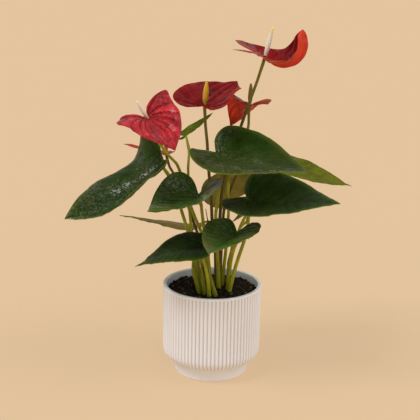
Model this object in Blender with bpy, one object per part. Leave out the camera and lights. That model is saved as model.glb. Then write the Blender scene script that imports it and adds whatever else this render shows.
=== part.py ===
"""Potted anthurium: a ribbed cover pot, soil, heart-shaped leaves, spathes, spadices and their stalks.

The pot stands on Z = 0 with its axis on Z. X runs to the right, Y to the back.
Plant positions are millimetres from the middle of the soil's top.
"""

import math
import random
from typing import NamedTuple

import bmesh
import bpy
from mathutils import Vector

MM = 0.001

# Pot, in metres
POT_HEIGHT = 0.120
POT_RADIUS = 0.065
POT_WALL = 0.005
POT_FLOOR = 0.007
FOOT_RADIUS = 0.049
FOOT_HEIGHT = 0.017
RIB_COUNT = 80
RIB_DEPTH = 0.0010
RIB_MARGIN = 0.0025

# Soil, in metres
SOIL_BELOW_RIM = 0.009
SOIL_FLAT_RADIUS = 0.036
SOIL_LUMP = 0.0016

# Plant
PLANT_SCALE = 1.0
BLADE_THICKNESS = 0.0012
THIN_SHARE = 0.35
THIN_REACH = 0.30
STALK_SCALE = 1.0
SPADIX_SCALE = 1.0
GAP = 0.0004

# Mesh fineness
BLADE_SPOKES = 24
BLADE_RINGS = 4
STALK_SIDES = 8
STALK_RINGS = 11
SPADIX_SIDES = 10

SOIL_TOP = POT_HEIGHT - SOIL_BELOW_RIM

# Half outline of a flat blade of length 1, from the tip round one lobe to the notch
LEAF_OUTLINE = (
    (1.0, 0.0), (0.93, 0.045), (0.72, 0.19), (0.42, 0.34), (0.12, 0.415),
    (-0.14, 0.36), (-0.27, 0.22), (-0.24, 0.09), (-0.10, 0.025), (-0.05, 0.0),
)
SPATHE_OUTLINE = (
    (1.0, 0.0), (0.93, 0.04), (0.74, 0.22), (0.46, 0.40), (0.12, 0.52),
    (-0.20, 0.50), (-0.38, 0.34), (-0.36, 0.14), (-0.13, 0.03), (-0.05, 0.0),
)


class Blade(NamedTuple):
    """A leaf or a spathe. Angles are degrees: rise is a vein's slope by the stalk, curl its bend.

    rise and curl are given at the tip, the left and right sides and the left and right lobes.
    Each bulge is an angle from the tip, a width and how much longer the spokes are there.
    """

    name: str
    at: tuple
    heading: float
    pitch: float
    roll: float
    length: float
    wide: float
    lobe: float
    rise: tuple
    curl: tuple
    power: float = 1.3
    wave: tuple = (0.0, 0.0, 0.0)
    bulges: tuple = ()
    rings: int = BLADE_RINGS


class Stalk(NamedTuple):
    """A petiole or a peduncle, from its root on the soil through way points to its blade."""

    name: str
    blade: str
    root: tuple
    way: tuple
    thick: tuple


class Shoot(NamedTuple):
    """A sheath or a young shoot that ends in a point."""

    name: str
    root: tuple
    way: tuple
    thick: tuple
    colour: str


class Spadix(NamedTuple):
    """A spadix on its spathe. tip is its far end."""

    name: str
    blade: str
    tip: tuple
    thick: tuple
    colour: str


LEAVES = (
    Blade("leaf_upper_right", at=(5, -30, 185), heading=-33, pitch=-9, roll=2, length=127,
          wide=1.09, lobe=0.64, rise=(6, 26, 8, 36, 18), curl=(5, 5, -19, 22, -2)),
    Blade("leaf_lower_right", at=(45, -30, 130), heading=-31, pitch=-6, roll=6, length=124,
          wide=1.14, lobe=0.58, rise=(14, 26, 7, 26, 13), curl=(-3, -9, -5, 24, -10)),
    Blade("leaf_far_right", at=(60, 60, 152), heading=9, pitch=-6, roll=-31, length=133,
          wide=1.01, lobe=0.70, rise=(-1, 16, 7, 15, 18), curl=(-11, 4, -10, -5, 3)),
    Blade("leaf_big_left", at=(-68, -10, 170), heading=190, pitch=-36, roll=-38, length=140,
          wide=1.24, lobe=0.42, rise=(-2, 39, -2, 33, 27), curl=(16, 24, -46, 19, 2),
          wave=(13, 3, 103), rings=5),
    Blade("leaf_mid_left", at=(-20, -45, 137), heading=237, pitch=-34, roll=10, length=92,
          wide=1.31, lobe=0.96, rise=(23, 19, 27, 19, 37), curl=(25, 12, 4, -4, 27)),
    Blade("leaf_front", at=(28, -55, 91), heading=248, pitch=-10, roll=8, length=84,
          wide=1.07, lobe=0.93, rise=(10, 14, 29, 20, 30), curl=(2, 2, 14, -6, 10)),
    Blade("leaf_low_left", at=(-13, -62, 76), heading=185, pitch=6, roll=8, length=87,
          wide=1.16, lobe=0.35, rise=(-9, 0, 16, 11, 26), curl=(-26, -34, 0, -14, 9)),
    Blade("leaf_rear", at=(19, 40, 149), heading=93, pitch=-48, roll=-26, length=98,
          wide=1.06, lobe=0.45, rise=(4, 1, -10, 3, 10), curl=(-1, -17, -34, -16, -5)),
    Blade("leaf_edge_left", at=(-30, 56, 70), heading=193, pitch=11, roll=13, length=100,
          wide=0.85, lobe=0.80, rise=(3, 1, 11, 22, 12), curl=(-6, -24, -22, 1, -14)),
    Blade("leaf_young", at=(-37, 10, 204), heading=8, pitch=30, roll=-53, length=46,
          wide=0.42, lobe=0.89, rise=(10, 40, 37, 23, 32), curl=(7, -6, -14, -13, 4)),
    Blade("leaf_small", at=(46, 45, 93), heading=170, pitch=-30, roll=25, length=26,
          wide=0.90, lobe=0.80, rise=(0, 15, 15, 15, 15), curl=(-10, -10, -10, -10, -10)),
)

SPATHES = (
    Blade("spathe_left", at=(-83, -38, 232), heading=-49, pitch=-32, roll=1, length=64,
          wide=1.21, lobe=0.97, rise=(3, 20, 12, 30, -10), curl=(2, 20, -15, 14, -32),
          bulges=((124, 13, 0.19), (92, 14, -0.05), (152, 14, -0.20),
                  (-88, 14, 0.05), (-114, 14, -0.13))),
    Blade("spathe_middle", at=(-13, 0, 245), heading=56, pitch=15, roll=20, length=77,
          wide=1.04, lobe=0.90, rise=(-1, 12, 25, 6, 17), curl=(9, -12, 40, -6, 16)),
    Blade("spathe_tall", at=(61, 0, 307), heading=-2, pitch=-9, roll=-4, length=91,
          wide=0.88, lobe=1.16, rise=(-50, -40, -32, 10, 7), curl=(190, 112, 55, 10, -12),
          power=1.0, rings=8),
    Blade("spathe_right", at=(46, 65, 236), heading=111, pitch=3, roll=15, length=57,
          wide=0.92, lobe=1.23, rise=(-24, 21, 18, 24, 36), curl=(-42, -5, -12, -40, -12)),
    Blade("spathe_rear", at=(-65, 72, 168), heading=172, pitch=9, roll=3, length=60,
          wide=1.0, lobe=0.35, rise=(1, 8, 1, 3, 7), curl=(1, 1, -15, -7, -2)),
)

PETIOLES = (
    Stalk("petiole_upper_right", "leaf_upper_right", root=(9, -8),
          way=((5, -15, 73), (3, -20, 107), (7, -25, 145)), thick=(2.6, 2.0)),
    Stalk("petiole_lower_right", "leaf_lower_right", root=(22, -17),
          way=((31, -20, 42), (39, -22, 70), (44, -24, 92)), thick=(2.7, 2.0)),
    Stalk("petiole_far_right", "leaf_far_right", root=(22, 2),
          way=((22, 7, 41), (27, 10, 55), (34, 16, 75), (42, 24, 93), (54, 34, 109), (66, 48, 127)),
          thick=(2.5, 1.9)),
    Stalk("petiole_big_left", "leaf_big_left", root=(-16, -16),
          way=((-24, -5, 48), (-33, 0, 80), (-42, 0, 109), (-52, -5, 145)), thick=(2.6, 2.0)),
    Stalk("petiole_mid_left", "leaf_mid_left", root=(-4, -13),
          way=((-9, -8, 54), (-11, -12, 82), (-14, -25, 108)), thick=(2.6, 2.0)),
    Stalk("petiole_front", "leaf_front", root=(20, -7),
          way=((24, -25, 49), (27, -42, 70)), thick=(2.4, 1.9)),
    Stalk("petiole_low_left", "leaf_low_left", root=(-3, -35),
          way=((-6, -41, 30), (-10, -51, 52)), thick=(2.6, 1.9)),
    Stalk("petiole_rear", "leaf_rear", root=(13, 8),
          way=((18, 8, 58), (20, 11, 98), (20, 14, 118), (18, 24, 134)), thick=(2.5, 1.8)),
    Stalk("petiole_edge_left", "leaf_edge_left", root=(-8, 26),
          way=((-17, 36, 30), (-24, 48, 53)), thick=(2.2, 1.7)),
    Stalk("petiole_young", "leaf_young", root=(-12, -2),
          way=((-21, 4, 44), (-28, 2, 79), (-31, -5, 115), (-33, -7, 162), (-32, 0, 186)),
          thick=(2.2, 1.6)),
    Stalk("petiole_small", "leaf_small", root=(20, 19),
          way=((26, 32, 47), (36, 41, 72)), thick=(2.0, 1.6)),
)

PEDUNCLES = (
    Stalk("peduncle_left", "spathe_left", root=(0, -18),
          way=((-7, -16, 56), (-15, -18, 85), (-30, -15, 117), (-41, -20, 162), (-48, -30, 177),
               (-57, -42, 188), (-70, -45, 209)), thick=(2.4, 1.8)),
    Stalk("peduncle_middle", "spathe_middle", root=(5, 3),
          way=((4, 5, 46), (-1, 4, 87), (-3, 3, 125), (-7, 2, 161), (-10, 1, 206)),
          thick=(2.4, 1.9)),
    Stalk("peduncle_tall", "spathe_tall", root=(9, 14),
          way=((9, 15, 48), (9, 14, 98), (13, 11, 146), (33, 12, 215), (46, 6, 257)),
          thick=(2.4, 1.9)),
    Stalk("peduncle_right", "spathe_right", root=(11, 26),
          way=((12, 28, 53), (14, 28, 99), (20, 31, 121), (28, 24, 146), (31, 24, 160),
               (36, 34, 174), (45, 52, 209)), thick=(2.2, 1.8)),
    Stalk("peduncle_rear", "spathe_rear", root=(-5, 8),
          way=((-17, 13, 62), (-28, 19, 92), (-37, 33, 114), (-54, 56, 144)), thick=(2.2, 1.8)),
)

SHOOTS = (
    Shoot("sheath_left", root=(-16, -23),
          way=((-19, -22, 14), (-23, -23, 29), (-25, -24, 41), (-25, -24, 52)),
          thick=(2.8, 3.4, 2.8, 0.5), colour="sheath"),
    Shoot("sheath_middle", root=(-8, -26), way=((-11, -27, 14), (-13, -27, 29), (-15, -26, 44)),
          thick=(3.4, 3.2, 2.0, 0.5), colour="sheath"),
    Shoot("sheath_front", root=(5, -31), way=((1, -31, 14), (-3, -31, 30), (-5, -29, 45)),
          thick=(3.2, 3.0, 1.8, 0.5), colour="sheath"),
    Shoot("bract_red", root=(-9, -16), way=((-11, -17, 18), (-12, -18, 34), (-13, -18, 48)),
          thick=(1.4, 1.6, 1.2, 0.4), colour="shoot"),
    Shoot("shoot_red", root=(-3, 0), way=((-5, 0, 37), (-5, 0, 68), (-7, 0, 95), (-10, 0, 110)),
          thick=(1.4, 1.5, 1.2, 0.4), colour="shoot"),
)

SPADICES = (
    Spadix("spadix_left", "spathe_left", tip=(-94, -46, 254),
           thick=(1.6, 2.6, 2.0), colour="spadix_cream"),
    Spadix("spadix_middle", "spathe_middle", tip=(-11, -3, 273),
           thick=(2.4, 3.6, 3.0), colour="spadix_yellow"),
    Spadix("spadix_tall", "spathe_tall", tip=(69, -2, 341),
           thick=(2.0, 3.0, 2.4), colour="spadix_cream"),
    Spadix("spadix_right", "spathe_right", tip=(47, 60, 265),
           thick=(1.8, 3.0, 2.6), colour="spadix_olive"),
    Spadix("spadix_rear", "spathe_rear", tip=(-66, 66, 194),
           thick=(1.6, 2.6, 2.2), colour="spadix_yellow"),
)

COLOURS = {
    "pot": (0.80, 0.74, 0.70, 0.45),
    "soil": (0.020, 0.014, 0.011, 0.95),
    "leaf": (0.020, 0.070, 0.012, 0.30),
    "leaf_light": (0.150, 0.220, 0.010, 0.40),
    "petiole": (0.170, 0.230, 0.020, 0.40),
    "peduncle": (0.100, 0.035, 0.015, 0.40),
    "spathe": (0.420, 0.015, 0.020, 0.25),
    "spadix_cream": (0.800, 0.700, 0.500, 0.60),
    "spadix_yellow": (0.600, 0.330, 0.030, 0.60),
    "spadix_olive": (0.200, 0.130, 0.030, 0.60),
    "sheath": (0.120, 0.200, 0.020, 0.45),
    "shoot": (0.400, 0.060, 0.030, 0.40),
}


def clear_scene():
    for obj in list(bpy.data.objects):
        bpy.data.objects.remove(obj)


def material(name):
    found = bpy.data.materials.get(name)
    if found:
        return found
    red, green, blue, roughness = COLOURS[name]
    made = bpy.data.materials.new(name)
    made.use_nodes = True
    shader = made.node_tree.nodes["Principled BSDF"]
    shader.inputs["Base Color"].default_value = (red, green, blue, 1.0)
    shader.inputs["Roughness"].default_value = roughness
    return made


def add_object(name, points, faces, colour):
    """A mesh object with its faces turned out and shaded smooth."""
    mesh = bpy.data.meshes.new(name)
    mesh.from_pydata([tuple(p) for p in points], [], faces)
    work = bmesh.new()
    work.from_mesh(mesh)
    bmesh.ops.recalc_face_normals(work, faces=work.faces)
    bmesh.ops.triangulate(work, faces=work.faces)
    work.to_mesh(mesh)
    work.free()
    for face in mesh.polygons:
        face.use_smooth = True
    mesh.materials.append(material(colour))
    obj = bpy.data.objects.new(name, mesh)
    bpy.context.scene.collection.objects.link(obj)
    return obj


def bridge(low, high):
    """Faces between two closed rings of point numbers, as many in both or twice as many in one."""
    if len(low) == len(high):
        n = len(low)
        return [(low[i], low[(i + 1) % n], high[(i + 1) % n], high[i]) for i in range(n)]
    if len(low) > len(high):
        return bridge(high, low)
    n = len(high)
    faces = []
    for i, corner in enumerate(low):
        here = 2 * i
        faces.append((corner, high[here], high[here + 1]))
        faces.append((corner, high[here + 1], low[(i + 1) % len(low)]))
        faces.append((low[(i + 1) % len(low)], high[here + 1], high[(here + 2) % n]))
    return faces


def turned(rings, start, end):
    """Points and faces of a closed solid from rings of points, with a middle point closing each end."""
    points = [start]
    faces = []
    last = None
    for ring in rings:
        numbers = list(range(len(points), len(points) + len(ring)))
        points.extend(ring)
        if last is None:
            faces.extend((0, numbers[(i + 1) % len(ring)], numbers[i]) for i in range(len(ring)))
        else:
            faces.extend(bridge(last, numbers))
        last = numbers
    points.append(end)
    top = len(points) - 1
    faces.extend((last[i], last[(i + 1) % len(last)], top) for i in range(len(last)))
    return points, faces


def circle(radius, height, count, ribs=0.0):
    """A level ring. With ribs, every second point is set in by that depth."""
    ring = []
    for i in range(count):
        angle = 2 * math.pi * i / count
        reach = radius - (ribs if i % 2 else 0.0)
        ring.append(Vector((reach * math.cos(angle), reach * math.sin(angle), height)))
    return ring


def cavity_profile():
    """Radius and height of the pot's inside, from the floor's edge up to the straight wall."""
    inner = POT_RADIUS - POT_WALL
    floor = FOOT_HEIGHT + POT_FLOOR
    return ((inner * 0.86, floor), (inner * 0.96, floor + 0.0025), (inner, floor + 0.009))


def build_pot():
    fine = 2 * RIB_COUNT
    belly = POT_RADIUS - FOOT_RADIUS - 0.001
    base = FOOT_HEIGHT
    inner = POT_RADIUS - POT_WALL
    rings = [
        circle(FOOT_RADIUS - 0.0008, 0.0, RIB_COUNT),
        circle(FOOT_RADIUS, 0.0010, RIB_COUNT),
        circle(FOOT_RADIUS, base, RIB_COUNT),
        circle(FOOT_RADIUS + 0.001, base, fine, RIB_DEPTH * 0.3),
        circle(FOOT_RADIUS + 0.001 + 0.50 * belly, base + 0.0025, fine, RIB_DEPTH),
        circle(FOOT_RADIUS + 0.001 + 0.86 * belly, base + 0.0080, fine, RIB_DEPTH),
        circle(POT_RADIUS, base + 0.0160, fine, RIB_DEPTH),
        circle(POT_RADIUS, POT_HEIGHT - RIB_MARGIN - 0.001, fine, RIB_DEPTH),
        circle(POT_RADIUS, POT_HEIGHT - RIB_MARGIN, RIB_COUNT),
        circle(POT_RADIUS - 0.0006, POT_HEIGHT - 0.0008, RIB_COUNT),
        circle(POT_RADIUS - 0.0018, POT_HEIGHT, RIB_COUNT),
        circle(inner + 0.0014, POT_HEIGHT, RIB_COUNT),
        circle(inner, POT_HEIGHT - 0.0014, RIB_COUNT),
    ]
    for radius, height in reversed(cavity_profile()):
        rings.append(circle(radius, height, RIB_COUNT))
    points, faces = turned(rings, Vector((0, 0, 0)), Vector((0, 0, FOOT_HEIGHT + POT_FLOOR)))
    add_object("pot", points, faces, "pot")


def build_soil():
    """Soil that fills the pot, lumpy outside a level middle where the stalks stand."""
    rng = random.Random(11)
    count = RIB_COUNT // 2
    inner = POT_RADIUS - POT_WALL - GAP
    rings = [circle(r - GAP, z + GAP, count) for r, z in cavity_profile()]
    rings.append(circle(inner, SOIL_TOP - 0.004, count))
    for share in (0.75, 0.40):
        radius = SOIL_FLAT_RADIUS + share * (inner - SOIL_FLAT_RADIUS)
        ring = circle(radius, SOIL_TOP - 0.0010, count)
        rings.append([p + Vector((0, 0, SOIL_LUMP * rng.uniform(-1, 1))) for p in ring])
    rings.append(circle(SOIL_FLAT_RADIUS, SOIL_TOP, count))
    bottom = Vector((0, 0, FOOT_HEIGHT + POT_FLOOR + GAP))
    points, faces = turned(rings, bottom, Vector((0, 0, SOIL_TOP)))
    add_object("soil", points, faces, "soil")


def spline(knots, shares):
    """Points at shares of a smooth curve through the knots."""
    lengths = [0.0]
    for a, b in zip(knots, knots[1:]):
        lengths.append(lengths[-1] + (b - a).length)
    slopes = []
    for i in range(len(knots)):
        low = max(i - 1, 0)
        high = min(i + 1, len(knots) - 1)
        slopes.append((knots[high] - knots[low]) / (lengths[high] - lengths[low]))
    found = []
    for share in shares:
        along = share * lengths[-1]
        i = 0
        while i < len(knots) - 2 and along > lengths[i + 1]:
            i += 1
        span = lengths[i + 1] - lengths[i]
        t = (along - lengths[i]) / span
        found.append(
            knots[i] * (2 * t**3 - 3 * t**2 + 1)
            + slopes[i] * span * (t**3 - 2 * t**2 + t)
            + knots[i + 1] * (3 * t**2 - 2 * t**3)
            + slopes[i + 1] * span * (t**3 - t**2)
        )
    return found


def blade_axes(blade):
    """Along the midrib, to the left, and up through the upper face."""
    heading, pitch, roll = (math.radians(a) for a in (blade.heading, blade.pitch, blade.roll))
    along = Vector((
        math.cos(pitch) * math.cos(heading),
        math.cos(pitch) * math.sin(heading),
        math.sin(pitch),
    ))
    level = Vector((-math.sin(heading), math.cos(heading), 0.0))
    left = math.cos(roll) * level + math.sin(roll) * along.cross(level)
    return along, left, along.cross(left)


def round_blade(values, angle):
    """The value at an angle from the tip, from those at the tip, sides and lobes. Left is positive."""
    tip, left, right, left_lobe, right_lobe = values
    side, lobe = (left, left_lobe) if angle >= 0 else (right, right_lobe)
    turn = abs(math.degrees(angle))
    for start, end, low, high in ((0, 65, tip, side), (65, 130, side, lobe)):
        if turn <= end:
            t = (turn - start) / (end - start)
            return low + (high - low) * t * t * (3 - 2 * t)
    return lobe


def stretch(blade, angle):
    """How many times longer a spoke is than on the plain outline."""
    turn = math.degrees(angle)
    return 1.0 + sum(
        size * math.exp(-(((turn - middle) / width) ** 2)) for middle, width, size in blade.bulges
    )


def blade_grid(blade, outline):
    """The stalk's point and, for each spoke round the blade, points out to its edge, in metres."""
    half = BLADE_SPOKES // 2
    knots = []
    for x, y in outline:
        reach = x * blade.lobe if -1 < x < -0.051 else x
        knots.append(Vector((reach, y * blade.wide, 0.0)))
    side = spline(knots, [(i / half) ** 0.92 for i in range(half + 1)])
    rim = side + [Vector((p.x, -p.y, 0.0)) for p in reversed(side[1:-1])]
    along, left, up = blade_axes(blade)
    centre = Vector((0, 0, SOIL_TOP)) + PLANT_SCALE * MM * Vector(blade.at)
    steps = 4 * blade.rings
    wave_size, wave_count, wave_turn = blade.wave
    spokes = []
    for p in rim:
        angle = math.atan2(p.y, p.x)
        reach = math.hypot(p.x, p.y) * blade.length * MM * PLANT_SCALE * stretch(blade, angle)
        rise = round_blade(blade.rise, angle)
        curl = round_blade(blade.curl, angle)
        curl += wave_size * math.sin(wave_count * angle + math.radians(wave_turn))
        ahead = math.cos(angle) * along + math.sin(angle) * left
        here = centre.copy()
        spoke = []
        for step in range(steps):
            slope = math.radians(rise + curl * ((step + 0.5) / steps) ** blade.power)
            here = here + (ahead * math.cos(slope) + up * math.sin(slope)) * (reach / steps)
            if step % 4 == 3:
                spoke.append(here)
        spokes.append(spoke)
    return centre, up, spokes


def set_down(blade, up, normal, reach):
    """How far the lower face lies under the upper one: thinner by the stalk, where folds are tight."""
    share = min(1.0, reach / (THIN_REACH * blade.length * MM))
    away = (up * (1 - share) + normal * share).normalized()
    return away * BLADE_THICKNESS * (THIN_SHARE + (1 - THIN_SHARE) * share)


def build_blade(blade, outline, colour):
    """A thin closed solid: upper face on the grid, lower face set down by the thickness."""
    centre, up, spokes = blade_grid(blade, outline)
    count = len(spokes)
    upper = [centre]
    lower = [centre - up * BLADE_THICKNESS * THIN_SHARE]
    for i, spoke in enumerate(spokes):
        before = spokes[i - 1]
        after = spokes[(i + 1) % count]
        for k, point in enumerate(spoke):
            inside = spoke[k - 1] if k else centre
            outside = spoke[min(k + 1, len(spoke) - 1)]
            normal = (outside - inside).cross(after[k] - before[k]).normalized()
            upper.append(point)
            lower.append(point - set_down(blade, up, normal, (point - centre).length))
    rings = blade.rings
    offset = len(upper)
    faces = []
    for i in range(count):
        j = (i + 1) % count
        here = 1 + i * rings
        there = 1 + j * rings
        faces.append((0, here, there))
        faces.append((offset, offset + there, offset + here))
        for k in range(rings - 1):
            a, b, c, d = here + k, here + k + 1, there + k + 1, there + k
            faces.append((a, b, c))
            faces.append((a, c, d))
            faces.append((offset + a, offset + c, offset + b))
            faces.append((offset + a, offset + d, offset + c))
        a, b = here + rings - 1, there + rings - 1
        faces.append((a, offset + a, offset + b))
        faces.append((a, offset + b, b))
    add_object(blade.name, upper + lower, faces, colour)


def seat(blade, radius, side):
    """Where a rod of this radius stops short of the blade, above or below it: a point and a normal."""
    _, _, up = blade_axes(blade)
    slopes = (side * (rise + 0.15 * curl) for rise, curl in zip(blade.rise, blade.curl))
    steepest = max(0, *slopes)
    clear = GAP + radius * math.tan(math.radians(steepest)) * 1.15
    if side < 0:
        clear += BLADE_THICKNESS
    centre = Vector((0, 0, SOIL_TOP)) + PLANT_SCALE * MM * Vector(blade.at)
    return centre + up * side * clear, up * side


def rod(name, knots, radii, start_normal, end_normal, colour, sides, rings):
    """A round rod along a smooth curve. Its end rings are sheared onto planes with the given normals."""
    shares = [i / (rings - 1) for i in range(rings)]
    path = spline(knots, shares)
    widths = spline([Vector((i, r, 0)) for i, r in enumerate(radii)], shares)
    side = Vector((1, 0, 0))
    loops = []
    for i, point in enumerate(path):
        ahead = (path[min(i + 1, rings - 1)] - path[max(i - 1, 0)]).normalized()
        side = (side - ahead * side.dot(ahead)).normalized()
        other = ahead.cross(side)
        normal = start_normal if i == 0 else end_normal if i == rings - 1 else None
        ring = []
        for k in range(sides):
            angle = 2 * math.pi * k / sides
            reach = (side * math.cos(angle) + other * math.sin(angle)) * widths[i].y
            if normal:
                reach = reach - ahead * (reach.dot(normal) / ahead.dot(normal))
            ring.append(point + reach)
        loops.append(ring)
    points, faces = turned(loops, path[0], path[-1])
    add_object(name, points, faces, colour)


def on_soil(root):
    spot = Vector((root[0], root[1], 0)) * MM * PLANT_SCALE
    return spot + Vector((0, 0, SOIL_TOP + GAP))


def above_soil(place):
    return Vector((0, 0, SOIL_TOP)) + Vector(place) * MM * PLANT_SCALE


def build_stalk(stalk, blades, colour):
    """Stalk from the soil to just under its blade, coming up square to it."""
    blade = blades[stalk.blade]
    radii = [r * MM * STALK_SCALE for r in stalk.thick]
    end, normal = seat(blade, radii[-1], -1)
    neck = end + normal * 0.007
    knots = [on_soil(stalk.root)] + [above_soil(p) for p in stalk.way] + [neck, end]
    rod(stalk.name, knots, radii, Vector((0, 0, 1)), normal, colour, STALK_SIDES, STALK_RINGS)


def build_shoot(shoot):
    radii = [r * MM * STALK_SCALE for r in shoot.thick]
    knots = [on_soil(shoot.root)] + [above_soil(p) for p in shoot.way]
    rod(shoot.name, knots, radii, Vector((0, 0, 1)), None, shoot.colour, STALK_SIDES, 7)


def build_spadix(spadix, blades):
    """Tapered rod with a blunt end, standing just clear of its spathe."""
    blade = blades[spadix.blade]
    radii = [r * MM * SPADIX_SCALE for r in spadix.thick]
    start, normal = seat(blade, radii[0], 1)
    tip = above_soil(spadix.tip)
    neck = start.lerp(tip, 0.25)
    knots = [start, neck, start.lerp(tip, 0.62), tip]
    widths = [radii[0], radii[1], radii[1], radii[2], radii[2] * 0.55]
    rod(spadix.name, knots, widths, normal, None, spadix.colour, SPADIX_SIDES, 9)


def main():
    clear_scene()
    build_pot()
    build_soil()
    blades = {blade.name: blade for blade in LEAVES + SPATHES}
    for blade in LEAVES:
        light = blade.name in ("leaf_far_right", "leaf_young", "leaf_edge_left")
        build_blade(blade, LEAF_OUTLINE, "leaf_light" if light else "leaf")
    for blade in SPATHES:
        build_blade(blade, SPATHE_OUTLINE, "spathe")
    for stalk in PETIOLES:
        build_stalk(stalk, blades, "petiole")
    for stalk in PEDUNCLES:
        green = stalk.name == "peduncle_left"
        build_stalk(stalk, blades, "petiole" if green else "peduncle")
    for shoot in SHOOTS:
        build_shoot(shoot)
    for spadix in SPADICES:
        build_spadix(spadix, blades)


main()
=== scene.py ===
"""Looks of a potted anthurium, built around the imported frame.

It makes the ribbed pot, the soil, and every leaf, spathe, stalk and spadix.
"""

import math
import random

import bmesh
import bpy
import numpy as np
from bpy.props import FloatProperty, FloatVectorProperty, IntProperty, PointerProperty
from mathutils import Matrix, Vector, noise


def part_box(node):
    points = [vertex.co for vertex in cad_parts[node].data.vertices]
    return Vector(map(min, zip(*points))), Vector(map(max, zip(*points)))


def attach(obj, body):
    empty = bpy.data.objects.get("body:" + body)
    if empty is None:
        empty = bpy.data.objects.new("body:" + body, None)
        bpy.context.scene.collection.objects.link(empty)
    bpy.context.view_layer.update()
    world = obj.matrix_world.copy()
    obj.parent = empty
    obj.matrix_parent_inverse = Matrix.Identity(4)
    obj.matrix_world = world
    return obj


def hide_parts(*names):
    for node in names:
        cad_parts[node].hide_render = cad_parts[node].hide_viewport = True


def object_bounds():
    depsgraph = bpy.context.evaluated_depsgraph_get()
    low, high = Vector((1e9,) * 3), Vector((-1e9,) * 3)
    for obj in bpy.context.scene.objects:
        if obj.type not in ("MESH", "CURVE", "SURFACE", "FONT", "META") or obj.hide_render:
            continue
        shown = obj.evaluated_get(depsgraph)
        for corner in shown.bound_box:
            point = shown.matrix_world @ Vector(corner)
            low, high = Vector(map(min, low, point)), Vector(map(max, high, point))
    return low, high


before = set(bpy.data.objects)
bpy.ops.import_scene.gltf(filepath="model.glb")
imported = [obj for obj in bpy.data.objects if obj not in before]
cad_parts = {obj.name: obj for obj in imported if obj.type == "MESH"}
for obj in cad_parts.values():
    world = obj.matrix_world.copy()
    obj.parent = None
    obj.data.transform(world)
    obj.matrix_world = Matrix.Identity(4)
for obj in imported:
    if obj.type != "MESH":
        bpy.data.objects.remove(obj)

CAD_LOW, CAD_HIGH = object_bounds()

bl_info = {
    "name": "Potted Anthurium",
    "version": (1, 0, 0),
    "blender": (4, 5, 0),
    "location": "3D View > Sidebar > Anthurium",
    "description": "Builds the leaves, flowers, stalks, soil and ribbed pot of an anthurium",
    "category": "Object",
}

# Mesh fineness. SPAN_STEPS are the steps from one spoke of the frame to the next.
SPAN_STEPS = 5
BLADE_RINGS = 30
TUBE_SIDES = 20
TUBE_RINGS = 60
SPADIX_SIDES = 44
SPADIX_RINGS = 110
RIB_STEPS = 12
BELLY_STEPS = 12
WALL_STEPS = 8
LIP_STEPS = 5
SOIL_RINGS = 46
SOIL_SIDES = 180

# Pot, in metres
FOOT_EDGE = 0.0012
SHELF_EDGE = 0.0006
SHELF_WIDTH = 0.0010
BELLY_HEIGHT = 0.0160
LIP_OUTSIDE = 0.0012
LIP_INSIDE = 0.0014
FLOOR_BEND_WIDE = 0.0085
FLOOR_BEND_HIGH = 0.0090

# Veins, in shares of a blade's length. FAN_START, FAN_STEP and ARC_STEP are in radians.
LATERAL_LEAN = 0.55
LATERAL_BEND = 0.55
LATERAL_STEP = 0.125
LATERAL_SLANT = 0.85
FAN_START = 1.08
FAN_BEND = 0.55
FAN_STEP = 0.50
ARC_STEP = 0.42
ARC_END = 1.02
VEIN_WIDTH = 0.011
BULGE_REACH = 0.028
UNDER_RIDGE = 1.3

# Waves along a blade's edge: how many go round it, and the share of each
EDGE_WAVES = ((5, 0.45), (9, 0.35), (15, 0.20))
RIPPLE_HEIGHT = 0.0007
RIPPLE_SCALE = 9
RIM_THICKNESS = 0.45

# A blade this long, in metres, has its full waves, relief and thickness. A shorter one has less.
FULL_WAVES = 0.10
FULL_RELIEF = 0.08
FULL_THICKNESS = 0.05

# Spadix: how often the rows of flowers wind round it, and their height as a share of its radius
BEAD_TURNS = 19
BEAD_SHARE = 0.20
BEAD_LEVEL = 0.35

# How far the mottle's noise is from its middle where a patch is full
MOTTLE_SPREAD = 0.22727

# Radius at a shoot's tip, in metres
SHOOT_TIP = 0.0002

# Fixed tints
# Painted sheen: a pale grey-green reflection, broken into patches on the leaves
PAINTED_SHEEN_TINT = (0.150, 0.175, 0.095)
# Painted brown-grey reflection, in broad patches on the leaves
PAINTED_BROWN_REFLECTION = (0.115, 0.082, 0.028)
# Pale pink on the bright spathe's veins: partly their own colour, partly painted highlight on the raised
# veins
PINK_VEIN_HIGHLIGHT = (0.80, 0.25, 0.28)
SPADIX_FOOT = (0.72, 0.36, 0.30)
SPADIX_TIP = (0.86, 0.72, 0.10)
GROOVE_SHADE = (0.66, 0.54, 0.46)
FIBRE_TINT = (0.16, 0.095, 0.055)
BARK_TINT = (0.260, 0.100, 0.045)
GRIT_TINT = (0.42, 0.33, 0.25)

# Lights: name, strength, turn, height and width in degrees, and tone
LIGHTS = (
    ("key_light", 1.55, -60, 54, 24, (1.0, 0.985, 0.965)),
    ("fill_light", 0.85, 72, 48, 34, (1.0, 0.980, 0.955)),
    ("front_light", 0.22, 8, 34, 40, (1.0, 0.980, 0.955)),
)
AIR_TONE = (1.0, 0.955, 0.90, 1.0)
AIR_STRENGTH = 0.56
FLOOR_HALF = 60.0
FLOOR_GAP = 0.0002
FLOOR_MATT = 0.300
FLOOR_MOTTLE = 0.002
FLOOR_GLOW = 0.675

# Camera: angles in degrees, places in metres, lens and sensor in millimetres
CAMERA_TILT = 14.86
CAMERA_ROLL = 0.93
CAMERA_AWAY = 1.10
CAMERA_TARGET = (-0.0043, 0.0, 0.2193)
CAMERA_LENS = 72.7
CAMERA_SENSOR = 36.0

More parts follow.
